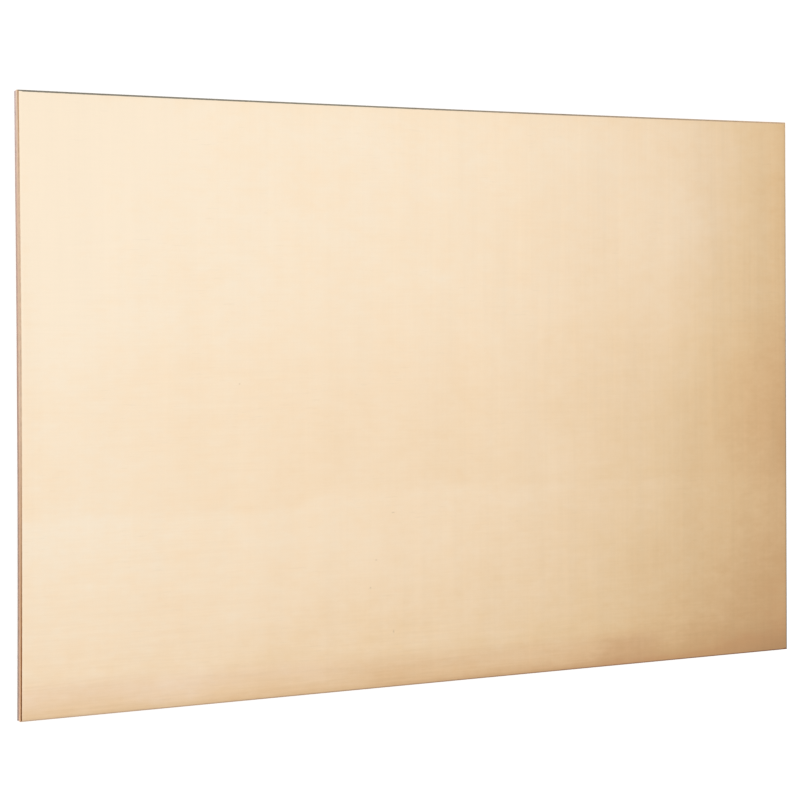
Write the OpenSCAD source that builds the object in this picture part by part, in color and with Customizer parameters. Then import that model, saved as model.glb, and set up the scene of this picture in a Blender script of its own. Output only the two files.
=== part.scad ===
// Cut-to-size cold-rolled brass sheet, sheared square on all four sides.
// The sheet lies flat with its good face up (+Z) and its back on Z = 0.
// X runs along the long side, which is also the rolling direction.
// The origin is the centre of the back face.
//
// A shear leaves the same section on every side. From the good face down it is
// a soft roll-over, a smooth upright land, a torn face that leans in by the
// clearance between the blades, and a fine break that rounds off the back edge.

/* [Sheet] */
// Length along the rolling direction
sheet_length = 160; // [60:1:600]
// Width across the rolling direction
sheet_width = 100; // [40:1:400]
// Thickness of the rolled metal
sheet_thickness = 1.5; // [1.2:0.1:6]

/* [Sheared edge] */
// Radius of the roll-over, which always ends at the land before a quarter turn
roll_over_radius = 0.25; // [0.25:0.05:1]
// How far the roll-over reaches in across the good face
roll_over_width = 0.2; // [0.1:0.02:0.24]
// Height of the smooth upright land that the blade burnished
land_height = 0.55; // [0.4:0.05:1.1]
// How far the torn face leans in, which is the clearance between the blades
blade_clearance = 0.06; // [0.02:0.02:0.4]
// Size of the 45 degree break along the back edge
back_break = 0.04; // [0.02:0.02:0.2]

/* [Quality] */
// Segments in the full circle that the roll-over arc is part of
arc_segments = 96; // [32:8:160]

/* [Hidden] */
brass = [0.93, 0.82, 0.65];

// The roll-over is an arc that leaves the good face smoothly and meets the
// land at a corner, so its drop follows from its radius and its width.
arc_centre = sheet_thickness - roll_over_radius;
land_top = arc_centre + sqrt(pow(roll_over_radius, 2) - pow(roll_over_width, 2));
land_bottom = land_top - land_height;

// Both prisms run past the sheet by this much before they are crossed
overrun = 5;

// Section of a sheet that is span wide, with the roll-over corners still square
module square_section(span) {
    edge = span / 2;
    polygon([
        [-edge + blade_clearance + back_break, 0],
        [edge - blade_clearance - back_break, 0],
        [edge - blade_clearance, back_break],
        [edge, land_bottom],
        [edge, sheet_thickness],
        [-edge, sheet_thickness],
        [-edge, land_bottom],
        [-edge + blade_clearance, back_break]
    ]);
}

// What the roll-over takes off the square corner on the right
module roll_over_waste(span) {
    arc_start = span / 2 - roll_over_width;
    difference() {
        translate([arc_start, arc_centre])
            square(roll_over_radius + overrun);
        translate([arc_start, arc_centre])
            circle(r = roll_over_radius, $fn = arc_segments);
    }
}

// The whole section, sheared at both ends
module sheared_section(span) {
    difference() {
        square_section(span);
        roll_over_waste(span);
        mirror([1, 0]) roll_over_waste(span);
    }
}

// A long bar with the sheared section, upright in Z and running along Y
module sheared_bar(span, run) {
    rotate([90, 0, 0])
        linear_extrude(height = run + 2 * overrun, center = true)
            sheared_section(span);
}

// Two such bars cross, and what they share is the sheet with its four sheared
// sides meeting in sharp mitred corners
module brass_sheet() {
    color(brass)
        intersection() {
            sheared_bar(sheet_length, sheet_width);
            rotate([0, 0, 90]) sheared_bar(sheet_width, sheet_length);
        }
}

brass_sheet();
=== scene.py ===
import math

import bpy
from mathutils import Matrix, Vector, noise


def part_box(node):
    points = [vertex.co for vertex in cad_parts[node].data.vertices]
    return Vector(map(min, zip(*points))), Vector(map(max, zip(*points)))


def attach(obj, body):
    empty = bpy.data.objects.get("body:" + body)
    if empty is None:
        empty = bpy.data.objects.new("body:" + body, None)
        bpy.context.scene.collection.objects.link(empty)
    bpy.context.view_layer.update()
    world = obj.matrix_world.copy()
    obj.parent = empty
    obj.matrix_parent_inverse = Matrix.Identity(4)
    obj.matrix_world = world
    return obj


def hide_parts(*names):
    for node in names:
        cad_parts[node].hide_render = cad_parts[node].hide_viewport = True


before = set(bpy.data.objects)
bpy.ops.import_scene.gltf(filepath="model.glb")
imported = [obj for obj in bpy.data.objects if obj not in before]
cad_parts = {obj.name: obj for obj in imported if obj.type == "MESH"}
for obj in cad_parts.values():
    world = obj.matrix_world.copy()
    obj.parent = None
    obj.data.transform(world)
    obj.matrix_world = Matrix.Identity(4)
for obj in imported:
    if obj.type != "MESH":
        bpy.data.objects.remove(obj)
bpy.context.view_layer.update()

# Sizes, in metres
MM = 0.001
NODE = "brass_sheet"
LOW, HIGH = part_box(NODE)
HALF_X = (HIGH[0] - LOW[0]) / 2
HALF_Y = (HIGH[1] - LOW[1]) / 2
THICK = HIGH[2] - LOW[2]

# The sheared section, as the CAD source has it. The roll-over is an arc, so its
# depth follows from its radius and its width.
ROLL_RADIUS = 0.25 * MM
ROLL_WIDTH = 0.2 * MM
ROLL_DEPTH = ROLL_RADIUS - math.sqrt(ROLL_RADIUS**2 - ROLL_WIDTH**2)
LAND_HEIGHT = 0.55 * MM
BLADE_CLEARANCE = 0.06 * MM
BACK_BREAK = 0.04 * MM

# Camera
# A nearly level camera with a small vertical shift puts the four sides of the
# face and the left end where the photo has them. The lens is in millimetres.
LENS = 124.462
SENSOR = 36.0
SHIFT_Y = -0.09537
CAMERA_AT = (-0.27032, 0.01602, 0.39939)
CAMERA_TURN = math.radians(-33.412)
CAMERA_PITCH = math.radians(-0.426)
CAMERA_ROLL = math.radians(-0.235)
CLIP_START = 0.01
CLIP_END = 50


def add_camera():
    data = bpy.data.cameras.new("camera")
    data.lens = LENS
    data.sensor_width = SENSOR
    data.shift_y = SHIFT_Y
    data.clip_start = CLIP_START
    data.clip_end = CLIP_END
    camera = bpy.data.objects.new("camera", data)
    bpy.context.scene.collection.objects.link(camera)
    camera.matrix_world = (
        Matrix.Translation(CAMERA_AT)
        @ Matrix.Rotation(CAMERA_TURN, 4, "Y")
        @ Matrix.Rotation(CAMERA_PITCH, 4, "X")
        @ Matrix.Rotation(CAMERA_ROLL, 4, "Z")
    )
    bpy.context.scene.camera = camera


# Node helpers
class Graph:
    """A material whose nodes are made by short calls. Its x, y and z are in millimetres."""

    def __init__(self, name):
        self.material = bpy.data.materials.new(name)
        self.material.use_nodes = True
        self.tree = self.material.node_tree
        self.tree.nodes.clear()
        place = self.node("ShaderNodeTexCoord")
        self.place = self.vector("SCALE", place.outputs["Object"], scale=1 / MM)
        axes = self.node("ShaderNodeSeparateXYZ")
        self.put(axes.inputs[0], self.place)
        self.x, self.y, self.z = axes.outputs

    def node(self, kind, **values):
        made = self.tree.nodes.new(kind)
        for key, value in values.items():
            setattr(made, key, value)
        return made

    def put(self, socket, value):
        """Links a socket to the input, or sets the input to a number, vector or colour."""
        if isinstance(value, bpy.types.NodeSocket):
            self.tree.links.new(value, socket)
        elif socket.type == "RGBA":
            socket.default_value = (*value, 1.0)
        else:
            socket.default_value = value

    def vector(self, operation, first, second=None, scale=None):
        made = self.node("ShaderNodeVectorMath", operation=operation)
        self.put(made.inputs[0], first)
        if second is not None:
            self.put(made.inputs[1], second)
        if scale is not None:
            self.put(made.inputs["Scale"], scale)
        return made.outputs["Value" if operation == "DOT_PRODUCT" else "Vector"]

    def math(self, operation, first, second=None):
        made = self.node("ShaderNodeMath", operation=operation)
        self.put(made.inputs[0], first)
        if second is not None:
            self.put(made.inputs[1], second)
        return made.outputs[0]

    def add(self, *terms):
        total = terms[0]
        for term in terms[1:]:
            total = self.math("ADD", total, term)
        return total

    def times(self, first, second):
        return self.math("MULTIPLY", first, second)

    def step(self, value, start, end):
        """0 at start, 1 at end, smooth between; start may be above end."""
        made = self.node("ShaderNodeMapRange", interpolation_type="SMOOTHSTEP")
        low, high, flip = (start, end, False) if start < end else (end, start, True)
        self.put(made.inputs["Value"], value)
        self.put(made.inputs["From Min"], low)
        self.put(made.inputs["From Max"], high)
        self.put(made.inputs["To Min"], 1.0 if flip else 0.0)
        self.put(made.inputs["To Max"], 0.0 if flip else 1.0)
        return made.outputs["Result"]

    def spread(self, size, seed, detail=2.0):
        """Noise from about -1 to 1, whose features are size (x, y, z) millimetres long."""
        moved = self.vector("ADD", self.place, (seed * 37.0, seed * -23.0, seed * 11.0))
        scaled = self.vector("MULTIPLY", moved, tuple(1 / s for s in size))
        made = self.node("ShaderNodeTexNoise", noise_dimensions="3D")
        self.put(made.inputs["Vector"], scaled)
        self.put(made.inputs["Scale"], 1.0)
        self.put(made.inputs["Detail"], detail)
        centred = self.math("SUBTRACT", made.outputs[0], 0.5)
        return self.times(centred, 4.0)

    def mix(self, factor, first, second):
        made = self.node("ShaderNodeMix", data_type="RGBA", clamp_factor=True)
        self.put(made.inputs[0], factor)
        self.put(made.inputs[6], first)
        self.put(made.inputs[7], second)
        return made.outputs[2]

    def ramp(self, value, stops):
        """A colour that runs through the stops as the value goes from 0 to 1."""
        made = self.node("ShaderNodeValToRGB")
        self.put(made.inputs[0], value)
        line = made.color_ramp.elements
        while len(line) < len(stops):
            line.new(1.0)
        for element, (at, colour) in zip(line, stops):
            element.position = at
            element.color = (*colour, 1.0)
        return made.outputs[0]

    def hill(self, x, y, wide, tall):
        """1 at (x, y) millimetres, falling off smoothly round it."""
        away = self.vector("SUBTRACT", self.place, (x, y, 0.0))
        away = self.vector("MULTIPLY", away, (1 / wide, 1 / tall, 0.0))
        return self.math("POWER", math.exp(-1), self.vector("DOT_PRODUCT", away, away))

    def fade(self, distance, reach):
        """1 where the distance is 0, falling off over the reach."""
        return self.math("POWER", math.exp(-1 / reach), distance)

    def stain(self, distance, reach, depth):
        """A fade that starts at the depth."""
        return self.times(self.fade(distance, reach), depth)

    def patches(self, table):
        """The sum of soft patches: x, y, width, height, strength."""
        return self.add(*(self.times(self.hill(*place), strength) for *place, strength in table))

    def layers(self, table):
        """The sum of layers of noise: size, seed, weight."""
        return self.add(*(
            self.times(self.spread(size, seed), weight) for size, seed, weight in table
        ))

    def polynomial(self, u, v, terms, level):
        """The level plus factor * u**i * v**j for each term (i, j, factor)."""
        parts = [level]
        for i, j, factor in terms:
            part = factor
            for base, power in ((u, i), (v, j)):
                if power == 1:
                    part = self.times(base, part)
                elif power > 1:
                    part = self.times(self.math("POWER", base, float(power)), part)
            parts.append(part)
        return self.add(*parts)

    def attribute(self, name):
        return self.node("ShaderNodeAttribute", attribute_name=name).outputs["Fac"]

    def scaled_colour(self, colour, factor):
        """The colour times a number that changes over the surface."""
        return self.vector("SCALE", colour, scale=factor)

    def bump(self, height, distance):
        made = self.node("ShaderNodeBump")
        self.put(made.inputs["Strength"], 1.0)
        self.put(made.inputs["Distance"], distance)
        self.put(made.inputs["Height"], height)
        return made.outputs[0]

    def finish(self, colour, roughness, normal, anisotropic=0.0, turn=0.0):
        """Bare metal with these looks; a brushed one follows the UV map."""
        shader = self.node("ShaderNodeBsdfPrincipled")
        self.put(shader.inputs["Base Color"], colour)
        self.put(shader.inputs["Metallic"], 1.0)
        self.put(shader.inputs["Roughness"], roughness)
        self.put(shader.inputs["Anisotropic"], anisotropic)
        self.put(shader.inputs["Anisotropic Rotation"], turn)
        self.put(shader.inputs["Normal"], normal)
        if anisotropic:
            along = self.node("ShaderNodeTangent", direction_type="UV_MAP", uv_map="UVMap")
            self.put(shader.inputs["Tangent"], along.outputs[0])
        out = self.node("ShaderNodeOutputMaterial")
        self.put(out.inputs["Surface"], shader.outputs[0])
        return self.material


# Materials
# Colours of the bare metal and of the thin tarnish that deepens over it. A depth
# of 1 sits at RAMP_SHARE of the way along, and deeper tarnish is darker still.
RAMP_SHARE = 0.8
TARNISH = (
    (0.00, (0.895, 0.760, 0.588)),
    (0.08, (0.890, 0.727, 0.535)),
    (0.16, (0.882, 0.697, 0.492)),
    (0.28, (0.852, 0.646, 0.425)),
    (0.40, (0.818, 0.600, 0.364)),
    (0.56, (0.772, 0.536, 0.300)),
    (0.72, (0.706, 0.462, 0.246)),
    (0.80, (0.672, 0.430, 0.222)),
    (1.00, (0.634, 0.372, 0.186)),
)
# The stain along -Y is a little pinker than the tarnish elsewhere, by this factor
BLUSH = (0.982, 0.967, 1.0)
# The back drifts between these two
GOLD = (0.889, 0.677, 0.458)
WARM = (0.83, 0.60, 0.375)
# The floor of a pit
PIT = (0.30, 0.18, 0.08)

# The slow change of the good face, first of its tarnish, whose palest part towards
# -X and +Y is partly a painted highlight, and then of its brightness, which is
# painted light and shade: power of u, power of v and factor, where u and v run
# from 0 to 1 towards +X and towards -Y
# partly tarnish and partly a painted highlight, palest towards -X and +Y
TARNISH_AND_HIGHLIGHT_LEVEL = -0.090
TARNISH_AND_HIGHLIGHT_SLOPES = (
    (1, 0, 0.49), (2, 0, -0.606), (1, 1, 0.174), (0, 1, 0.269), (0, 2, -0.435),
    (4, 0, 0.713), (4, 1, 0.235), (0, 4, 0.495),
)
# painted light and shade: the brightness of the face, changing slowly over it
PAINTED_LIGHT_LEVEL = 1.0066
PAINTED_LIGHT_SLOPES = ((1, 0, 0.019), (2, 0, 0.041), (1, 1, -0.067))

# Soft patches on the good face, in millimetres from its centre: x, y, width,
# height and strength. Smudges change the tarnish, and the painted light patches change the brightness as
# painted reflection and shade.
SMUDGES = (
    (50.1, 30, 13.9, 10, -0.11),
    (74, 12, 5, 4, 0.06),
    (76, 20, 5, 6, -0.07),
    (75, 42, 6, 9, 0.05),
    (72.5, -2, 9.6, 13, 0.098),
    (27.7, -13, 7.5, 4, -0.08),
    (-70.4, -46.5, 8.5, 2.5, 0.075),
    (-10.7, -47.5, 6.4, 2.5, 0.154),
    (40.5, -46.5, 8.5, 2.5, 0.166),
    (-51.2, -46, 6.4, 2, -0.051),
    (3, -47, 7, 3, 0.08),
    (-14, -47, 22, 2.6, 0.045),
    (-12, -8, 14, 8, 0.03),
    (64, -45.5, 8, 1.6, 0.05),
    (59, -48.7, 9, 0.8, -0.06),
    (76.5, -47, 3.5, 1.4, -0.07),
    (79, -41, 2.5, 8, -0.05),
)
# painted reflection and shade: brighter and darker patches of the face
PAINTED_LIGHT_PATCHES = (
    (53, -32, 17, 12, -0.016),
    (72.5, -2, 9.6, 13, 0.027),
    (82, -51, 13, 5, -0.16),
    (75, 0, 7, 10, 0.024),
    (50, 13, 13, 13, 0.022),
)
# Pits on the good face, in the same way, but all of one strength
PITS = (
    (-39.8, 2.7, 0.14, 0.11),
    (-9.4, -20.0, 0.28, 0.10),
    (-12.9, -28.0, 0.17, 0.11),
    (-14.1, -32.7, 0.15, 0.15),
    (-9.4, -40.5, 0.14, 0.24),
)
PIT_COLOUR_SHARE = 0.30
PIT_DEPTH = -5.0

# How strongly the rolled faces are brushed, and which way, as a share of a turn
ANISOTROPY = 0.45
BRUSH_TURN = 0.25

# Marks of the rolls across the sheet: where along X, in millimetres, how far
# each one reaches and how deep it is
ROLL_MARKS = (-49.0, -21.5, 4.3, 31.0)
ROLL_MARK_REACH = 5.3
ROLL_MARK_DEPTH = 0.038

# A deeper band across the middle, and where along Y its sharp side lies
SHELF_DEPTH = 0.056
SHELF_Y = -16.3

# Stains along the sides: how far they reach in, in millimetres, and how deep
# they are. The side towards -Y has a wide one, a narrow one and a darker corner.
LOW_STAIN = (2.2, 0.27)
RIM_STAIN = (0.8, 0.045)
CORNER_STAIN = (2.6, 0.21)
TOP_STAIN = (2.0, 0.085)
LEFT_STAIN = (3.0, 0.08)
RIGHT_STAIN = (4.0, 0.15)
# The narrow one grows along X: from here, to there, by so many times its depth
RIM_STEPS = ((-50.0, -25.0, 1.0), (-5.0, 16.0, 2.22), (42.0, 64.0, 4.22))

# Layers of noise: size in millimetres, seed and weight. The mottle is in the
# tarnish, and the chatter of the rolls runs across the sheet.
MOTTLE = (((16, 11, 9), 1, 0.022), ((4.5, 3.0, 3), 8, 0.020), ((1.6, 0.9, 1), 9, 0.018))
CHATTER = (((0.5, 26, 5), 5, 0.85), ((1.7, 40, 5), 13, 0.65), ((6, 44, 5), 18, 1.3))

# The lip is the outer part of the roll-over, and its inner line lies between
# these two distances from the rim, in millimetres
LIP_EDGE = (0.225, 0.17)
# On each side of the sheet the lip's colour changes towards +X or +Y. Its dark browns and greys are
# partly dirt and partly a painted dark reflection.
LIP_LEFT = (
    (0.00, (0.20, 0.07, 0.016)),
    (0.09, (0.34, 0.14, 0.052)),
    (0.20, (0.48, 0.27, 0.14)),
    (0.35, (0.62, 0.40, 0.25)),
    (0.50, (0.79, 0.59, 0.415)),
    (0.80, (0.81, 0.60, 0.43)),
    (1.00, (0.60, 0.37, 0.205)),
)
LIP_RIGHT = (
    (0.00, (0.33, 0.26, 0.20)),
    (0.40, (0.38, 0.29, 0.20)),
    (0.70, (0.48, 0.37, 0.25)),
    (1.00, (0.74, 0.53, 0.33)),
)
LIP_TOP = (
    (0.00, (0.27, 0.25, 0.20)),
    (0.40, (0.32, 0.29, 0.22)),
    (0.65, (0.42, 0.34, 0.25)),
    (0.85, (0.56, 0.42, 0.28)),
    (1.00, (0.72, 0.52, 0.34)),
)
LIP_BOTTOM = (
    (0.00, (0.72, 0.52, 0.35)),
    (0.40, (0.55, 0.36, 0.22)),
    (0.70, (0.44, 0.25, 0.14)),
    (1.00, (0.32, 0.16, 0.085)),
)

# The land and the torn face of the left end, which change towards +Y
LAND = (
    (0.00, (0.90, 0.55, 0.30)),
    (0.09, (0.75, 0.45, 0.24)),
    (0.20, (0.63, 0.37, 0.195)),
    (0.35, (0.65, 0.42, 0.245)),
    (0.50, (0.71, 0.53, 0.37)),
    (0.80, (0.70, 0.49, 0.33)),
    (1.00, (0.76, 0.57, 0.42)),
)
TORN = (
    (0.00, (0.54, 0.37, 0.295)),
    (0.12, (0.59, 0.40, 0.305)),
    (0.45, (0.61, 0.40, 0.30)),
    (0.80, (0.69, 0.49, 0.40)),
    (1.00, (0.72, 0.56, 0.53)),
)


def left_end(g):
    """1 on the sheared left end and its lip, 0 elsewhere."""
    return g.step(g.x, -79.0, -79.4)


def face_tarnish_and_highlight(g, u, v):
    """How deep the tarnish is, which grows towards +X and -Y, and the mottle in it. Its shallowest part,
    towards -X and +Y, is partly a painted highlight.
    """
    from_low = g.add(g.y, HALF_Y / MM)
    from_high = g.math("SUBTRACT", HALF_Y / MM, g.y)
    from_left = g.add(g.x, HALF_X / MM)
    from_right = g.math("SUBTRACT", HALF_X / MM, g.x)

    # a deeper band across the middle, which ends in a fairly sharp line
    wander = g.spread(size=(24, 9, 9), seed=7, detail=3.0)
    y = g.add(g.y, g.times(wander, 1.1))
    line = g.add(y, -SHELF_Y, g.times(g.step(g.x, -21.0, -32.0), 2.2))
    shelf = g.times(g.step(y, 16.0, -5.0), g.step(line, -1.2, 1.2))
    # the roll marks fade towards +Y and stop at the line
    marks = g.add(*(
        g.stain(g.math("ABSOLUTE", g.add(g.x, -x)), ROLL_MARK_REACH, ROLL_MARK_DEPTH)
        for x in ROLL_MARKS
    ))
    marks = g.times(marks, g.times(g.step(y, 28.0, 4.0), g.step(line, -1.6, 2.4)))

    # stains along the sides: those towards -Y grow along X, the right one stops short of -Y
    low = g.stain(g.add(from_low, g.times(wander, 0.5)), *LOW_STAIN)
    low = g.times(low, g.polynomial(u, v, ((2, 0, 0.556),), level=1.0))
    rim = g.stain(from_low, *RIM_STAIN)
    rim = g.times(rim, g.add(1.0, *(
        g.times(g.step(g.x, start, end), more) for start, end, more in RIM_STEPS
    )))
    corner = g.stain(g.add(from_low, g.times(wander, 0.7)), *CORNER_STAIN)
    corner = g.times(corner, g.step(g.x, 52.0, 76.0))
    top = g.stain(from_high, *TOP_STAIN)
    left = g.stain(from_left, *LEFT_STAIN)
    right = g.times(g.stain(from_right, *RIGHT_STAIN), g.step(g.y, -26.0, -8.0))

    mottle = g.times(g.layers(MOTTLE), g.polynomial(u, v, ((4, 0, 1.0), (0, 4, 1.2)), level=1.5))
    total = g.add(
        g.polynomial(u, v, TARNISH_AND_HIGHLIGHT_SLOPES, level=TARNISH_AND_HIGHLIGHT_LEVEL), g.patches(SMUDGES), mottle,
        g.times(shelf, SHELF_DEPTH), marks, low, rim, corner, top, left, right,
    )
    return total, mottle


def lip_colour(g, u, v):
    """Colour of the lip, by side, which changes along the mitres."""
    near_end = g.math("SUBTRACT", HALF_X / MM, g.math("ABSOLUTE", g.x))
    near_side = g.math("SUBTRACT", HALF_Y / MM, g.math("ABSOLUTE", g.y))
    upward = g.math("SUBTRACT", 1.0, v)
    right = g.math("GREATER_THAN", g.x, 0.0)
    high = g.math("GREATER_THAN", g.y, 0.0)
    ends = g.mix(right, g.ramp(upward, LIP_LEFT), g.ramp(upward, LIP_RIGHT))
    sides = g.mix(high, g.ramp(u, LIP_BOTTOM), g.ramp(u, LIP_TOP))
    colour = g.mix(g.math("LESS_THAN", near_end, near_side), sides, ends)
    grime = g.spread(size=(0.9, 0.9, 0.9), seed=10, detail=3.0)
    return g.scaled_colour(colour, g.add(1.0, g.times(grime, 0.10)))


def rolled_face():
    """The good face and its roll-over, down to the land."""
    g = Graph("rolled_face")
    u = g.math("ADD", g.math("DIVIDE", g.x, 2 * HALF_X / MM), 0.5)
    v = g.math("SUBTRACT", 0.5, g.math("DIVIDE", g.y, 2 * HALF_Y / MM))
    inset = g.attribute("inset")
    tarnish_and_highlight, mottle = face_tarnish_and_highlight(g, u, v)

    # rolling streaks of three widths, which run along X
    fine = g.spread(size=(7, 0.28, 5), seed=2)
    medium = g.spread(size=(12, 0.9, 5), seed=3)
    broad = g.spread(size=(34, 3.4, 5), seed=4)
    streaks = g.add(fine, medium, g.times(broad, 0.7))
    uneven = g.step(g.spread(size=(22, 16, 9), seed=14), -1.2, 0.8)
    streak_depth = g.add(
        g.polynomial(u, v, ((0, 10, 0.012),), level=0.0018), g.times(uneven, 0.0034),
        g.times(g.times(g.step(v, 0.15, 0.5), g.step(u, 1.0, 0.6)), 0.0022),
    )
    chatter_depth = g.polynomial(u, v, ((2, 0, 0.012),), level=0.0048)
    # short dark dashes along the rolling direction, here and there
    dashes = g.step(g.spread(size=(3.2, 0.30, 5), seed=16, detail=1.0), 0.62, 1.0)
    dashes = g.times(dashes, g.step(g.spread(size=(13, 9, 5), seed=17), -0.1, 0.5))
    # a painted highlight makes the shoulder next to the lip paler and brighter on the left end
    on_left = left_end(g)
    rub_and_highlight = g.times(g.fade(inset, reach=0.3), on_left)

    # the slow change of the tone and its patches are painted light and shade, and the shoulder term is a
    # painted highlight; mottle, streaks, chatter and dashes are the metal's own
    tone = g.add(
        g.polynomial(u, v, PAINTED_LIGHT_SLOPES, level=PAINTED_LIGHT_LEVEL), g.patches(PAINTED_LIGHT_PATCHES), g.times(mottle, 0.12),
        g.times(g.fade(g.add(g.y, HALF_Y / MM), reach=0.8), -0.03),
        g.times(streaks, streak_depth), g.times(g.layers(CHATTER), chatter_depth),
        g.times(dashes, -0.028), g.times(rub_and_highlight, 0.04),
    )
    # on the left shoulder the tarnish is thinned as part of the painted highlight
    tarnish_and_highlight = g.add(tarnish_and_highlight, g.times(streaks, g.times(streak_depth, -1.2)), g.times(rub_and_highlight, -0.17))
    colour = g.scaled_colour(g.ramp(g.times(tarnish_and_highlight, RAMP_SHARE), TARNISH), tone)
    blush = g.times(g.step(g.y, -43.0, -46.5), g.step(g.x, 52.0, 44.0))
    colour = g.mix(blush, colour, g.vector("MULTIPLY", colour, BLUSH))

    # the lip is dark and dull, partly from dirt and partly from a painted dark reflection. It is widest
    # on the right end and the +Y side, narrowest on the left end, and a little wider there at its middle.
    wide = g.math("MAXIMUM", g.step(g.x, 79.0, 79.4), g.step(g.y, 49.0, 49.3))
    wide = g.times(wide, g.math("SUBTRACT", 1.0, on_left))
    reach = g.add(
        inset, g.times(g.spread(size=(0.8, 0.8, 0.8), seed=15), 0.015), g.times(on_left, -0.01),
        g.times(g.hill(-80, 6, 6, 16), -0.045), g.times(wide, -0.09),
    )
    lip = g.step(reach, *LIP_EDGE)
    colour = g.mix(lip, colour, lip_colour(g, u, v))

    pits = g.math("MINIMUM", 1.0, g.add(*(g.hill(*pit) for pit in PITS)))
    colour = g.mix(g.times(pits, PIT_COLOUR_SHARE), colour, PIT)

    roughness = g.add(0.30, g.times(streaks, 0.01), g.times(tarnish_and_highlight, 0.04), g.times(lip, 0.25))
    height = g.add(g.times(fine, 0.6), medium, g.times(pits, PIT_DEPTH))
    normal = g.bump(height, distance=0.0000012)
    return g.finish(colour, roughness, normal, ANISOTROPY, BRUSH_TURN)


def rolled_back():
    g = Graph("rolled_back")
    drift = g.spread(size=(38, 30, 30), seed=11, detail=3.0)
    colour = g.mix(g.step(drift, -1.0, 1.0), GOLD, WARM)
    streaks = g.layers((((18, 0.26, 5), 12, 0.4), ((34, 0.9, 5), 13, 0.6)))
    colour = g.scaled_colour(colour, g.add(1.0, g.times(streaks, 0.015)))
    roughness = g.add(0.36, g.times(streaks, 0.02), g.times(drift, 0.03))
    normal = g.bump(streaks, distance=0.0000015)
    return g.finish(colour, roughness, normal, ANISOTROPY, BRUSH_TURN)


def up_the_left_end(g):
    """0 to 1 from -Y to +Y on the left end, and one middle value on the other sides."""
    upward = g.math("DIVIDE", g.y, 2 * HALF_Y / MM)
    return g.add(0.5, g.times(upward, left_end(g)))


def burnished_land():
    g = Graph("burnished_land")
    wipe = g.spread(size=(0.12, 0.12, 2.5), seed=21)
    blotch = g.spread(size=(1.6, 1.6, 0.8), seed=22, detail=3.0)
    tone = g.add(0.98, g.times(wipe, 0.05), g.times(blotch, 0.07))
    colour = g.scaled_colour(g.ramp(up_the_left_end(g), LAND), tone)
    roughness = g.add(0.36, g.times(wipe, 0.05))
    normal = g.bump(wipe, distance=0.000004)
    return g.finish(colour, roughness, normal)


def torn_fracture():
    g = Graph("torn_fracture")
    upward = up_the_left_end(g)
    grain = g.spread(size=(0.22, 0.22, 0.3), seed=31, detail=3.0)
    blotch = g.spread(size=(1.2, 1.2, 0.7), seed=32, detail=3.0)
    # a darker line along the back edge, fainter towards +Y
    line = g.times(g.step(g.z, 0.42, 0.15), g.add(0.22, g.times(g.step(upward, 0.6, 0.25), 0.30)))
    tone = g.add(1.0, g.times(grain, 0.12), g.times(blotch, 0.10), g.times(line, -1.0))
    colour = g.scaled_colour(g.ramp(upward, TORN), tone)
    roughness = g.add(0.55, g.times(grain, 0.08))
    normal = g.bump(grain, distance=0.00002)
    return g.finish(colour, roughness, normal)


# The sheet
# Cells of the grid on each face, fine columns for each cell at the rim, the gap
# between rim and grid, and rows of faces down each part of the sheared section
CELLS_X = 160
CELLS_Y = 100
FINE = 4
MARGIN = 0.6 * MM
ROLL_ROWS = 6
LAND_ROWS = 5
TORN_ROWS = 10
ZONES = ("face", "land", "torn", "back")

# The photo shows a slight hollow of the left end and of the top side
LEFT_HOLLOW = 0.25 * MM
TOP_HOLLOW = 0.19 * MM

# Waves of the good face, in millimetres: the mean dip, and slow, crosswise and
# lengthwise waves about it. Over the last stretch to the rim they fade to level.
MEAN_DIP = 0.02
SLOW_WAVE = 0.012
CROSS_WAVE = 0.0022
LONG_WAVE = 0.0015
FADE_WIDTH = 4 * MM

# How much the roll-over's width and depth change along the edge, as shares of
# their size, and a factor that is past its widest
WIDTH_CHANGE = 0.12
DEPTH_CHANGE = 0.10
WIDEST_ROLL = 1.2

# The sheared edge, in millimetres: the uneven line where the land tears, which
# is higher towards -Y, the rub marks of the land, the grain of the torn face,
# and how much more that face leans in on the left end
TEAR_WANDER = 0.10
TEAR_JITTER = 0.05
TEAR_RISE = 0.16
RUB = 0.006
FINE_GRAIN = 0.022
COARSE_GRAIN = 0.018
LOW_LEAN = 0.028
TOP_LEAN = 0.05

# The left end is the fourth side of the perimeter
LEFT_SIDE = 3


def clamp(value):
    return min(1.0, max(0.0, value))


def rough(position, size, seed):
    """Perlin noise from about -1 to 1 with features of one size in metres."""
    return noise.noise(Vector(position) / size + Vector((seed * 17.3, seed * 5.1, seed * -9.7)))


def hollow(x, y, z):
    """Moves a point in where the left end and the top side are hollow."""
    left = max(0.0, -x / HALF_X) ** 6 * (1 - (y / HALF_Y) ** 2)
    top = max(0.0, y / HALF_Y) ** 6 * (1 - (x / HALF_X) ** 2)
    return (x + LEFT_HOLLOW * left, y - TOP_HOLLOW * top, z)


def face_wave(x, y):
    """How far the good face dips below its highest level."""
    slow = rough((x, y, 0), 28 * MM, 1)
    band = rough((x, y * 0.2, 0), 9 * MM, 2)
    lengthwise = rough((x * 0.12, y, 0), 6 * MM, 3)
    return MM * max(0.0, MEAN_DIP + SLOW_WAVE * slow + CROSS_WAVE * band + LONG_WAVE * lengthwise)


def perimeter():
    """The fine columns round the sheet: side, and place along the side from -1 to 1."""
    columns = []
    for side, cells in enumerate((CELLS_X, CELLS_Y, CELLS_X, CELLS_Y)):
        count = cells * FINE
        for i in range(count):
            columns.append((side, -1 + 2 * i / count))
    return columns


def on_side(side, along, inset, z):
    """A point at the height z, set in from one side: -Y, +X, +Y and -X in turn."""
    half_x = HALF_X - inset
    half_y = HALF_Y - inset
    return (
        (half_x * along, -half_y, z),
        (half_x, half_y * along, z),
        (-half_x * along, half_y, z),
        (-half_x, -half_y * along, z),
    )[side]


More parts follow.
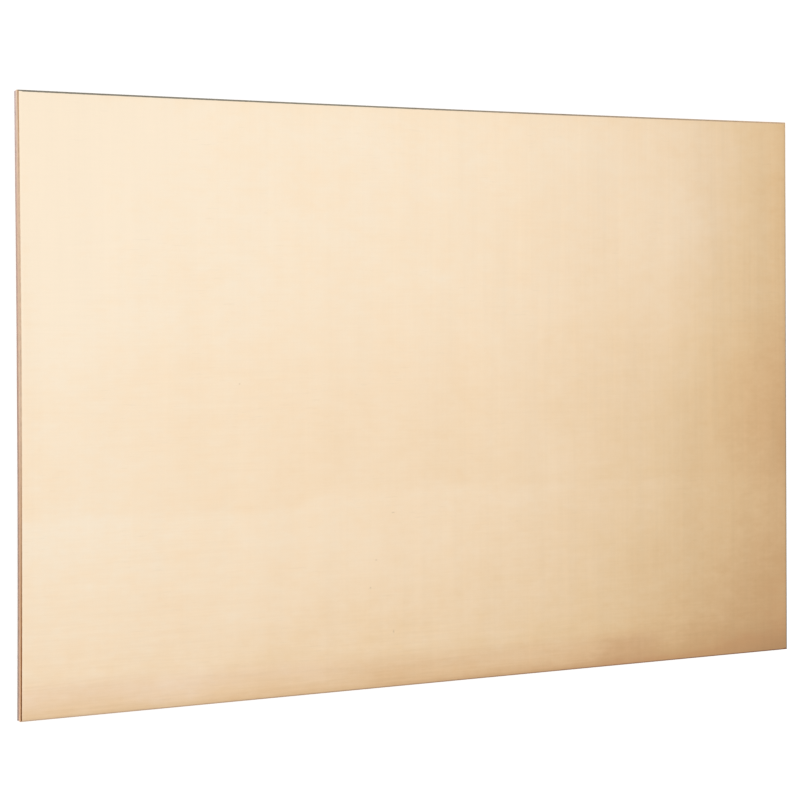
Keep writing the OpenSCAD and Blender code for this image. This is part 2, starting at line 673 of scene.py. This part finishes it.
def tear_height(here, top):
    """Where the land ends and the torn face starts."""
    uneven = TEAR_WANDER * rough(here, 2.4 * MM, 6) + TEAR_JITTER * rough(here, 0.7 * MM, 7)
    return top - LAND_HEIGHT + MM * uneven + TEAR_RISE * MM * max(0.0, -here[1] / HALF_Y)


def extra_lean(side, here):
    """The torn face of the left end leans in more in its lower half and at its +Y corner."""
    if side != LEFT_SIDE:
        return 0.0
    up = here[1] / HALF_Y
    return MM * (LOW_LEAN * clamp((0.05 - up) / 0.25) + TOP_LEAN * max(0.0, (up - 0.7) / 0.3))


def torn_grain(here, z, t):
    """How far the torn face lies in at one spot; t runs from 0 at its top to 1."""
    spot = (here[0], here[1], z)
    fine = FINE_GRAIN * (1 + rough(spot, 0.5 * MM, 9))
    coarse = COARSE_GRAIN * (1 + rough(spot, 1.4 * MM, 10))
    return MM * (fine + coarse) * min(1.0, 4 * t) * min(1.0, 0.2 + 3 * (1 - t))


def section_rows(side, along):
    """The section of one column, from the good face down to the back: (inset, z, zone)."""
    here = on_side(side, along, 0, 0)
    width = ROLL_WIDTH * (1 + WIDTH_CHANGE * rough(here, 6 * MM, 4))
    depth = ROLL_DEPTH * (1 + DEPTH_CHANGE * rough(here, 5 * MM, 5))
    top = THICK - depth
    tear = tear_height(here, top)
    rub_and_highlight = RUB * MM * (1 + rough(here, 0.35 * MM, 8))
    lean = BLADE_CLEARANCE + extra_lean(side, here)
    radius = (width**2 + depth**2) / (2 * depth)
    rows = []
    for i in range(ROLL_ROWS + 1):
        turned = math.asin(width / radius) * i / ROLL_ROWS
        inset = width - radius * math.sin(turned)
        rows.append((inset, THICK - radius * (1 - math.cos(turned)), "face"))
    for i in range(1, LAND_ROWS + 1):
        rows.append((rub_and_highlight, top + (tear - top) * i / LAND_ROWS, "land"))
    for i in range(1, TORN_ROWS + 1):
        t = i / TORN_ROWS
        z = tear + (BACK_BREAK - tear) * t
        rows.append((rub_and_highlight + lean * t + torn_grain(here, z, t), z, "torn"))
    rows.append((rows[-1][0] + BACK_BREAK, 0.0, "back"))
    return rows


class SheetMesh:
    """Points and faces of the sheet: a sheared rim, ring by ring, and two filled faces."""

    def __init__(self):
        self.points = []
        self.faces = []
        self.zones = []
        self.columns = perimeter()
        self.count = len(self.columns)
        self.sections = [section_rows(side, along) for side, along in self.columns]
        self.rings = len(self.sections[0])
        self.add_rim()
        self.fill(0, ROLL_WIDTH * WIDEST_ROLL + MARGIN, THICK, "face")
        self.fill(self.rings - 1, BLADE_CLEARANCE + 2 * BACK_BREAK + MARGIN, 0.0, "back")

    def add_face(self, corners, zone):
        self.faces.append(corners[::-1] if zone == "back" else corners)
        self.zones.append(zone)

    def add_rim(self):
        for ring in range(self.rings):
            for (side, along), rows in zip(self.columns, self.sections):
                inset, z, _ = rows[ring]
                self.points.append(on_side(side, along, inset, z))
        for ring in range(self.rings - 1):
            zone = self.sections[0][ring + 1][2]
            upper = ring * self.count
            lower = upper + self.count
            for k in range(self.count):
                following = (k + 1) % self.count
                self.faces.append((upper + k, lower + k, lower + following, upper + following))
                self.zones.append(zone)

    def fill(self, ring, inset, z, zone):
        """Covers the inside of a ring with an even grid and a strip of triangles round it."""
        start = len(self.points)
        half_x = HALF_X - inset
        half_y = HALF_Y - inset
        for j in range(CELLS_Y + 1):
            for i in range(CELLS_X + 1):
                x = half_x * (2 * i / CELLS_X - 1)
                y = half_y * (2 * j / CELLS_Y - 1)
                self.points.append((x, y, z))

        def at(i, j):
            return start + j * (CELLS_X + 1) + i

        for j in range(CELLS_Y):
            for i in range(CELLS_X):
                self.add_face((at(i, j), at(i + 1, j), at(i + 1, j + 1), at(i, j + 1)), zone)
        border = [at(i, 0) for i in range(CELLS_X)]
        border += [at(CELLS_X, j) for j in range(CELLS_Y)]
        border += [at(i, CELLS_Y) for i in range(CELLS_X, 0, -1)]
        border += [at(0, j) for j in range(CELLS_Y, 0, -1)]
        half = FINE // 2
        for i, inner in enumerate(border):
            following = border[(i + 1) % len(border)]
            rim = [ring * self.count + (i * FINE + f) % self.count for f in range(FINE + 1)]
            for f in range(FINE):
                self.add_face((rim[f], rim[f + 1], inner if f < half else following), zone)
            self.add_face((rim[half], following, inner), zone)

    def make(self, name):
        """The Blender mesh, with its waves and hollows, and each point's distance from the rim."""
        shaped = []
        insets = []
        for x, y, z in self.points:
            rim = min(HALF_X - abs(x), HALF_Y - abs(y))
            insets.append(rim / MM)
            if z > THICK - 0.5 * ROLL_DEPTH:
                z -= face_wave(x, y) * clamp(rim / FADE_WIDTH)
            shaped.append(hollow(x, y, z))
        mesh = bpy.data.meshes.new(name)
        mesh.from_pydata(shaped, [], self.faces)
        mesh.attributes.new("inset", "FLOAT", "POINT").data.foreach_set("value", insets)
        return mesh

    def add_materials(self, mesh):
        for material in (rolled_face(), burnished_land(), torn_fracture(), rolled_back()):
            mesh.materials.append(material)
        for polygon, zone in zip(mesh.polygons, self.zones):
            polygon.material_index = ZONES.index(zone)
            polygon.use_smooth = zone != "torn"

    def add_creases(self, mesh):
        """Sharp edges: land to roll-over, land to torn face, the back's break and the mitres."""
        creases = {ROLL_ROWS, ROLL_ROWS + LAND_ROWS, self.rings - 2, self.rings - 1}
        corners = {k for k, (_, along) in enumerate(self.columns) if along == -1}
        for edge in mesh.edges:
            a, b = edge.vertices
            if max(a, b) >= self.rings * self.count:
                continue
            if a // self.count == b // self.count:
                edge.use_edge_sharp = a // self.count in creases
            elif a % self.count == b % self.count:
                edge.use_edge_sharp = a % self.count in corners

    def add_uvs(self, mesh):
        """UVs in metres: U along X on the two faces, and along the side on the rim."""
        uv = mesh.uv_layers.new(name="UVMap")
        for polygon, zone in zip(mesh.polygons, self.zones):
            for loop in polygon.loop_indices:
                x, y, z = mesh.vertices[mesh.loops[loop].vertex_index].co
                if zone in ("face", "back"):
                    uv.data[loop].uv = (x, y)
                elif abs(polygon.normal.x) > abs(polygon.normal.y):
                    uv.data[loop].uv = (y, z)
                else:
                    uv.data[loop].uv = (x, z)


def add_sheet():
    sheet = SheetMesh()
    mesh = sheet.make("brass_sheet_dressed")
    sheet.add_materials(mesh)
    sheet.add_creases(mesh)
    sheet.add_uvs(mesh)
    mesh.validate()
    mesh.update()
    piece = bpy.data.objects.new("brass_sheet_dressed", mesh)
    bpy.context.scene.collection.objects.link(piece)
    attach(piece, "root")
    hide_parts(NODE)


# Stage and light
# The floor, in metres. Light that bounces off it meets the plain grey, while the
# camera and reflections see a darker grey, which keeps the shadow, and a glow.
FLOOR_HALF = 6.0
FLOOR_Z = -0.0001
FLOOR_GREY = (0.8, 0.8, 0.8)
SHADE_GREY = (0.45, 0.45, 0.45)
FLOOR_GLOW = 0.74


def pale_floor():
    """A plain floor that is near white to the camera and in reflections, and keeps its shadow."""
    g = Graph("pale_floor")
    path = g.node("ShaderNodeLightPath")
    seen = g.math("MAXIMUM", path.outputs["Is Camera Ray"], path.outputs["Is Glossy Ray"])
    seen = g.math("MAXIMUM", seen, path.outputs["Is Transmission Ray"])
    plain = g.node("ShaderNodeBsdfDiffuse")
    g.put(plain.inputs["Color"], FLOOR_GREY)
    shade = g.node("ShaderNodeBsdfDiffuse")
    g.put(shade.inputs["Color"], SHADE_GREY)
    glow = g.node("ShaderNodeEmission")
    g.put(glow.inputs["Strength"], FLOOR_GLOW)
    both = g.node("ShaderNodeAddShader")
    g.put(both.inputs[0], shade.outputs[0])
    g.put(both.inputs[1], glow.outputs[0])
    choice = g.node("ShaderNodeMixShader")
    g.put(choice.inputs[0], seen)
    g.put(choice.inputs[1], plain.outputs[0])
    g.put(choice.inputs[2], both.outputs[0])
    out = g.node("ShaderNodeOutputMaterial")
    g.put(out.inputs["Surface"], choice.outputs[0])
    return g.material


def add_floor():
    corners = [(FLOOR_HALF * x, FLOOR_HALF * y, FLOOR_Z) for x, y in ((-1, -1), (1, -1), (1, 1), (-1, 1))]
    mesh = bpy.data.meshes.new("floor")
    mesh.from_pydata(corners, [], [(0, 1, 2, 3)])
    mesh.materials.append(pale_floor())
    floor = bpy.data.objects.new("floor", mesh)
    bpy.context.scene.collection.objects.link(floor)


WORLD_LEVEL = 0.72
SOFTBOX_LEVEL = 0.40
SOFTBOX_AT = (0.06, 0.38, 1.0)
SOFTBOX_SIZE = (1.70, 1.44)


def add_light():
    world = bpy.data.worlds.new("world")
    world.use_nodes = True
    sky = world.node_tree.nodes["Background"]
    sky.inputs["Color"].default_value = (1, 1, 1, 1)
    sky.inputs["Strength"].default_value = WORLD_LEVEL
    bpy.context.scene.world = world
    data = bpy.data.lights.new("softbox", "AREA")
    data.shape = "RECTANGLE"
    data.size, data.size_y = SOFTBOX_SIZE
    data.energy = SOFTBOX_LEVEL * math.pi * data.size * data.size_y
    lamp = bpy.data.objects.new("softbox", data)
    lamp.location = SOFTBOX_AT
    bpy.context.scene.collection.objects.link(lamp)


# Build
bpy.context.scene.view_settings.view_transform = "Standard"
add_camera()
add_sheet()
add_floor()
add_light()
